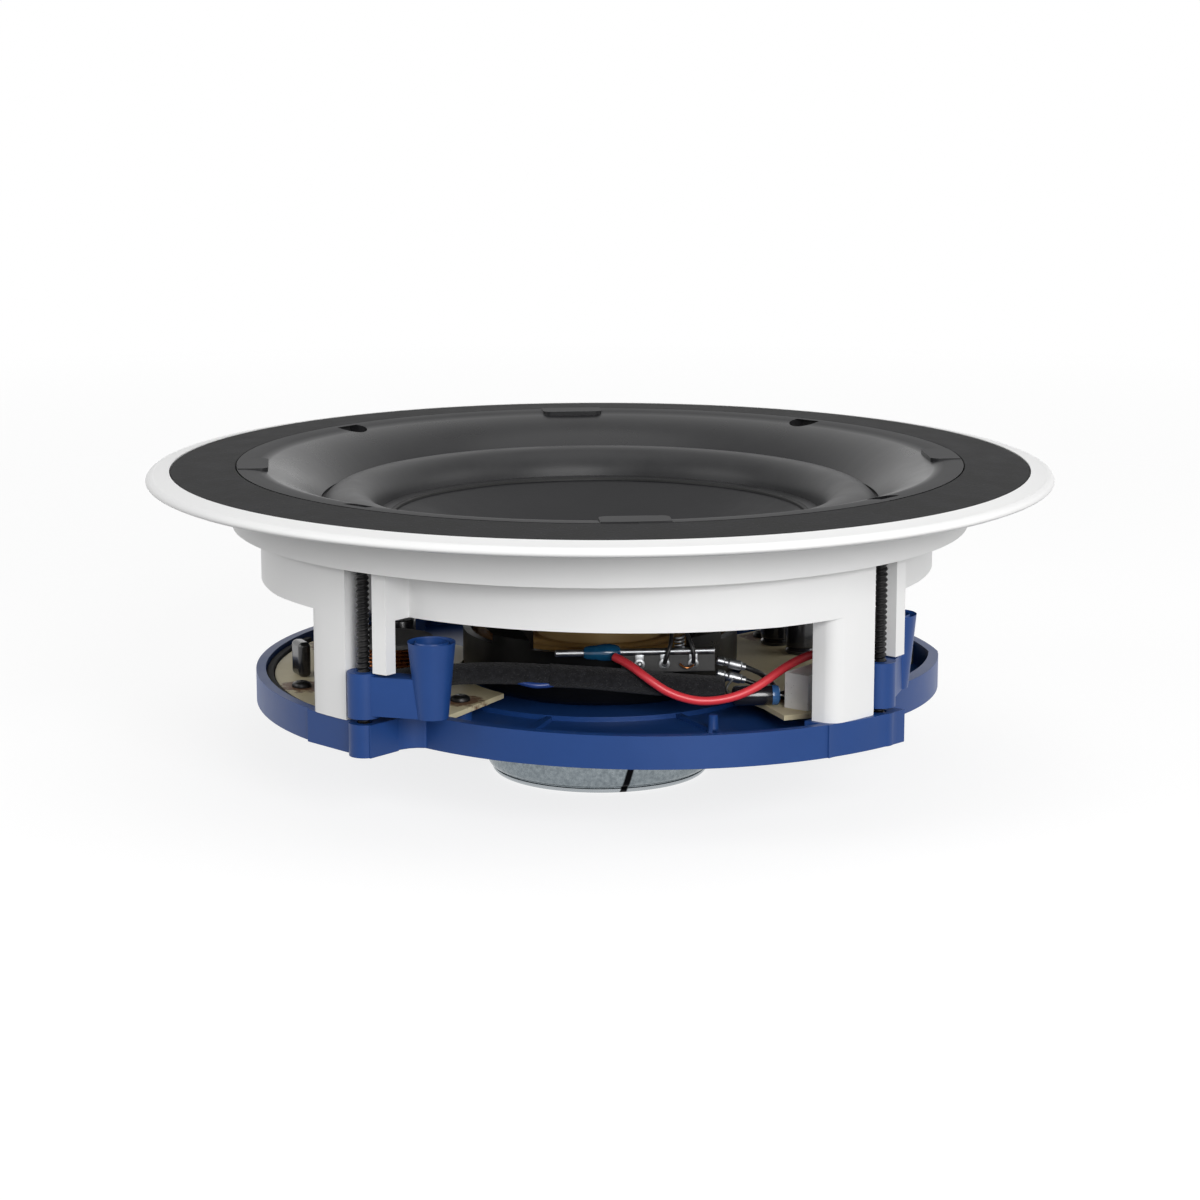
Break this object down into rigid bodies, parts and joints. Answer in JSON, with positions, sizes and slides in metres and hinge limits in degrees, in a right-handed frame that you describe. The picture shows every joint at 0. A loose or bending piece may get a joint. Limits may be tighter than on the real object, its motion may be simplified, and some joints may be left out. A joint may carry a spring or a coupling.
{
  "type": "flush ceiling loudspeaker",
  "caption": "Round flush ceiling loudspeaker with a wide cone in a trim ring, a saw-tooth collar with swing-out clamps and an open rear frame that carries the crossover.",
  "frame": {"origin": "centre of the magnet can's underside, on which the loudspeaker rests", "axes": "+Z out of the front, towards the room; -Y out of the window that shows the wiring"},
  "size_m": [0.28, 0.28, 0.0987],
  "materials": {
    "white_plastic": "satin",
    "black_plastic": "textured",
    "grey_plastic": "satin",
    "blue_plastic": "satin",
    "surround_rubber": "matte",
    "cone_sheet": "matte",
    "coil_former": "matte",
    "copper_wire": "lacquered",
    "spider_cloth": "woven",
    "black_steel": "powder coated",
    "zinc_plate": "zinc plated",
    "plain_steel": "machined",
    "ferrite": "matte",
    "dome_metal": "satin",
    "black_foam": "matte",
    "screw_black": "black oxide",
    "board": "matte",
    "ferrite_core": "matte",
    "capacitor_sleeve": "gloss",
    "cement": "matte",
    "fuse_resin": "gloss",
    "tag_board": "matte",
    "tinned_metal": "tinned",
    "blue_sleeve": "translucent",
    "felt": "felted",
    "red_wire": "satin",
    "terminal_plastic": "satin",
    "button_red": "satin",
    "button_black": "satin"
  },
  "bodies": {
    "frame": {"bezel": "white_plastic", "grille_seat_ring": "black_plastic", "baffle_trim": "grey_plastic", "basket": "black_steel", "surround": "surround_rubber", "spider": "spider_cloth", "shield_can": "zinc_plate", "yoke": "plain_steel", "ferrite_magnet": "ferrite", "top_plate": "plain_steel", "tweeter_cup": "plain_steel", "tweeter_magnet": "plain_steel", "tweeter_plate": "plain_steel", "tweeter_dome": "dome_metal", "tweeter_waveguide": "grey_plastic", "rear_frame": "blue_plastic", "lobe_gasket_left": "black_foam", "lobe_gasket_right": "black_foam", "driver_screws": "screw_black", "frame_screws": "screw_black", "board_screws": "screw_black", "crossover_board_left": "board", "crossover_board_right": "board", "inductor_core": "ferrite_core", "inductor_winding": "copper_wire", "electrolytic_capacitors": "capacitor_sleeve", "film_capacitor": "capacitor_sleeve", "cement_resistor": "cement", "fuse": "fuse_resin", "tag_strip": "tag_board", "tag_bracket": "tinned_metal", "tag_rail": "tinned_metal", "crimp_sleeve": "blue_sleeve", "push_on_terminals": "tinned_metal", "felt_harness": "felt", "red_lead": "red_wire", "terminal_block": "terminal_plastic"},
    "diaphragm": {"cone": "cone_sheet", "voice_coil_former": "coil_former", "voice_coil_winding": "copper_wire"},
    "screw_rear_right": {"clamp_screw_rear_right": "screw_black"},
    "dog_rear_right": {"clamp_dog_rear_right": "blue_plastic"},
    "screw_rear_left": {"clamp_screw_rear_left": "screw_black"},
    "dog_rear_left": {"clamp_dog_rear_left": "blue_plastic"},
    "screw_front_left": {"clamp_screw_front_left": "screw_black"},
    "dog_front_left": {"clamp_dog_front_left": "blue_plastic"},
    "screw_front_right": {"clamp_screw_front_right": "screw_black"},
    "dog_front_right": {"clamp_dog_front_right": "blue_plastic"},
    "button_red": {"terminal_button_red": "button_red"},
    "button_black": {"terminal_button_black": "button_black"}
  },
  "joints": [
    {"name": "cone_travel", "type": "slide", "parent": "frame", "child": "diaphragm", "axis": [0, 0, 1], "range_m": [-0.004, 0.004], "stiffness_N_per_m": 1500, "deforming": ["surround", "spider"]},
    {"name": "screw_turn_rear_right", "type": "hinge", "parent": "frame", "child": "screw_rear_right", "pos_m": [0.07538, 0.07538, 0.06], "axis": [0, 0, 1], "continuous": true},
    {"name": "dog_swing_rear_right", "type": "hinge", "parent": "frame", "child": "dog_rear_right", "pos_m": [0.07538, 0.07538, 0.06], "axis": [0, 0, -1], "range_deg": [0, 110]},
    {"name": "screw_turn_rear_left", "type": "hinge", "parent": "frame", "child": "screw_rear_left", "pos_m": [-0.07538, 0.07538, 0.06], "axis": [0, 0, 1], "continuous": true},
    {"name": "dog_swing_rear_left", "type": "hinge", "parent": "frame", "child": "dog_rear_left", "pos_m": [-0.07538, 0.07538, 0.06], "axis": [0, 0, -1], "range_deg": [0, 110]},
    {"name": "screw_turn_front_left", "type": "hinge", "parent": "frame", "child": "screw_front_left", "pos_m": [-0.07538, -0.07538, 0.06], "axis": [0, 0, 1], "continuous": true},
    {"name": "dog_swing_front_left", "type": "hinge", "parent": "frame", "child": "dog_front_left", "pos_m": [-0.07538, -0.07538, 0.06], "axis": [0, 0, -1], "range_deg": [0, 110]},
    {"name": "screw_turn_front_right", "type": "hinge", "parent": "frame", "child": "screw_front_right", "pos_m": [0.07538, -0.07538, 0.06], "axis": [0, 0, 1], "continuous": true},
    {"name": "dog_swing_front_right", "type": "hinge", "parent": "frame", "child": "dog_front_right", "pos_m": [0.07538, -0.07538, 0.06], "axis": [0, 0, -1], "range_deg": [0, 110]},
    {"name": "button_press_red", "type": "slide", "parent": "frame", "child": "button_red", "axis": [0, 0, 1], "range_m": [0, 0.0025], "stiffness_N_per_m": 800},
    {"name": "button_press_black", "type": "slide", "parent": "frame", "child": "button_black", "axis": [0, 0, 1], "range_m": [0, 0.0025], "stiffness_N_per_m": 800}
  ]
}
